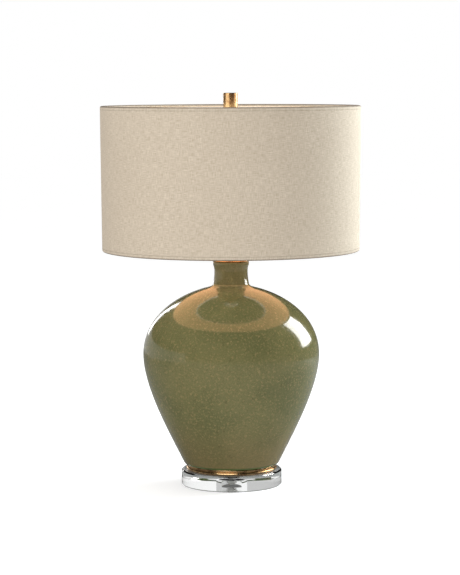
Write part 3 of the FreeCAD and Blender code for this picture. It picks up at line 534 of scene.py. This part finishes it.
linen = Recipe("beige_linen")
linen_x, linen_y, linen_z = linen.split(linen.place())
round_the_drum = linen.node("ShaderNodeMath", 0, {"operation": "ARCTAN2"}, {0: linen_x, 1: linen_y})
along = round_the_drum * drum_radius
threads_a_metre = 1250.0
thread_changes_a_metre = 85.0
weft_place = linen.join(along * thread_changes_a_metre, 0.0, linen_z * threads_a_metre)
warp_place = linen.join(along * threads_a_metre, 5.0, linen_z * thread_changes_a_metre)
weft = linen.noise(weft_place, 1.0, 2.0, 0.6)
warp = linen.noise(warp_place, 1.0, 2.0, 0.6)
slub = linen.noise(linen.join(along * 110.0, 9.0, linen_z * 700.0), 1.0, 2.0, 0.5)
weave = (weft + warp) * 0.5
cloud = linen.noise(linen.place(), 7.0, 2.0)
flax = linen.blend(weave.between(0.36, 0.64), linear(176, 162, 143), linear(206, 193, 175))
slubbed = linen.blend(slub.between(0.58, 0.74) * 0.45, flax, linear(222, 211, 194))
clouded = linen.blend(cloud.between(0.35, 0.65) * 0.10, slubbed, linear(168, 152, 132))
hem_depth = 0.0062
half_height = (fabric_high.z - fabric_low.z) / 2
from_edge = ((linen_z - (fabric_low.z + fabric_high.z) / 2).size() - half_height) * -1.0
# The darker line along the hem's fold and the darker rolled rims are painted shade of the crease and the
# rolls.
fold_painted_shade = (from_edge - hem_depth).size().between(0.0010, 0.0003, 0.0, 0.30)
rim_painted_shade = from_edge.between(0.0028, 0.0010, 0.0, 0.80)
shaded_edges = linen.blend(fold_painted_shade + rim_painted_shade, clouded, linear(104, 92, 80))
linen_surface = linen.principled(
    Base_Color=shaded_edges,
    Roughness=weave.between(0.3, 0.7, 0.82, 0.95),
    Specular_IOR_Level=0.15,
    Normal=linen.bumps(weave + slub * 0.5, 0.00025),
)
beige_linen = linen.finish(linen_surface)


def wall_radius(level):
    """The cloth's middle radius: the drum narrows slightly downwards."""
    share_down = (fabric_high.z - level) / (fabric_high.z - fabric_low.z)
    return drum_radius - drum_taper * share_down - fabric_thickness / 2


def cloth_path():
    """The cloth's middle line from the tucked end of the upper hem to that of the lower one."""
    top_level = fabric_high.z - wire_roll
    low_level = fabric_low.z + wire_roll
    top_ring = wall_radius(top_level) - roll_middle
    low_ring = wall_radius(low_level) - roll_middle
    hem_turn = math.radians(205)
    hem_steps = 12
    wall_steps = 10
    path = []
    for step in range(hem_steps + 1):
        turn = hem_turn * (1 - step / hem_steps)
        path.append((top_ring + roll_middle * math.cos(turn), top_level + roll_middle * math.sin(turn)))
    for step in range(1, wall_steps):
        level = top_level + (low_level - top_level) * step / wall_steps
        path.append((wall_radius(level), level))
    for step in range(hem_steps + 1):
        turn = -hem_turn * step / hem_steps
        path.append((low_ring + roll_middle * math.cos(turn), low_level + roll_middle * math.sin(turn)))
    return path


def cloth_drum():
    """The cloth as a thin closed skin round the drum, with a lapped seam at the back."""
    path = cloth_path()
    outer, inner = [], []
    for number, (radius, level) in enumerate(path):
        before = path[max(number - 1, 0)]
        after = path[min(number + 1, len(path) - 1)]
        run = Vector((after[0] - before[0], after[1] - before[1])).normalized()
        out = Vector((-run.y, run.x)) * fabric_thickness / 2
        outer.append((radius + out.x, level + out.y))
        inner.append((radius - out.x, level - out.y))
    ring = outer + inner[::-1]
    columns = 240
    lap_half = 0.005 / drum_radius
    lap_step = 0.0006 / drum_radius
    lap_height = 0.0003
    drawn_in = 0.0003
    swell_depth = 0.00008
    turns = [math.tau * column / columns for column in range(columns)]
    turns = [turn for turn in turns if abs(turn - math.pi) > 2 * lap_half]
    turns += [math.pi + side * lap_half + shift for side in (-1, 1) for shift in (-lap_step, lap_step)]
    turns.sort()
    sway = random.Random(7)
    waves = [(count, sway.uniform(0, math.tau), sway.uniform(0.3, 1.0)) for count in (3, 5, 8, 13)]
    points, faces = [], []
    for turn in turns:
        lapped = abs(turn - math.pi) < lap_half
        swell = sum(size * math.sin(count * turn + phase) for count, phase, size in waves) * swell_depth
        share = 1 + (swell - drawn_in + (lap_height if lapped else 0.0)) / drum_radius
        for radius, level in ring:
            points.append((radius * share * math.sin(turn), -radius * share * math.cos(turn), level))
    count = len(ring)
    for column in range(len(turns)):
        here, there = column * count, (column + 1) % len(turns) * count
        for row in range(count):
            after = (row + 1) % count
            faces.append((here + row, there + row, there + after, here + after))
    return points, faces


shade_points, shade_faces = cloth_drum()
shade_cloth = mesh_piece("shade_cloth", shade_points, shade_faces, beige_linen)
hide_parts("shade_fabric")
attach(shade_cloth, "shade")

# A glowing amber card just inside the liner, seen only in gloss: a painted warm reflection of the shade's
# inside, as the glaze of the shoulder mirrors it.
glow_low, glow_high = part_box("shade_liner")
glow_radius = 0.2205
glow_top = glow_high.z - 0.04
glow_amber = (1.0, 0.50, 0.24, 1)
wall_card("liner_reflection_glow", 0, 360, glow_radius, low=glow_low.z, high=glow_top, colour=glow_amber, strength=2.6)
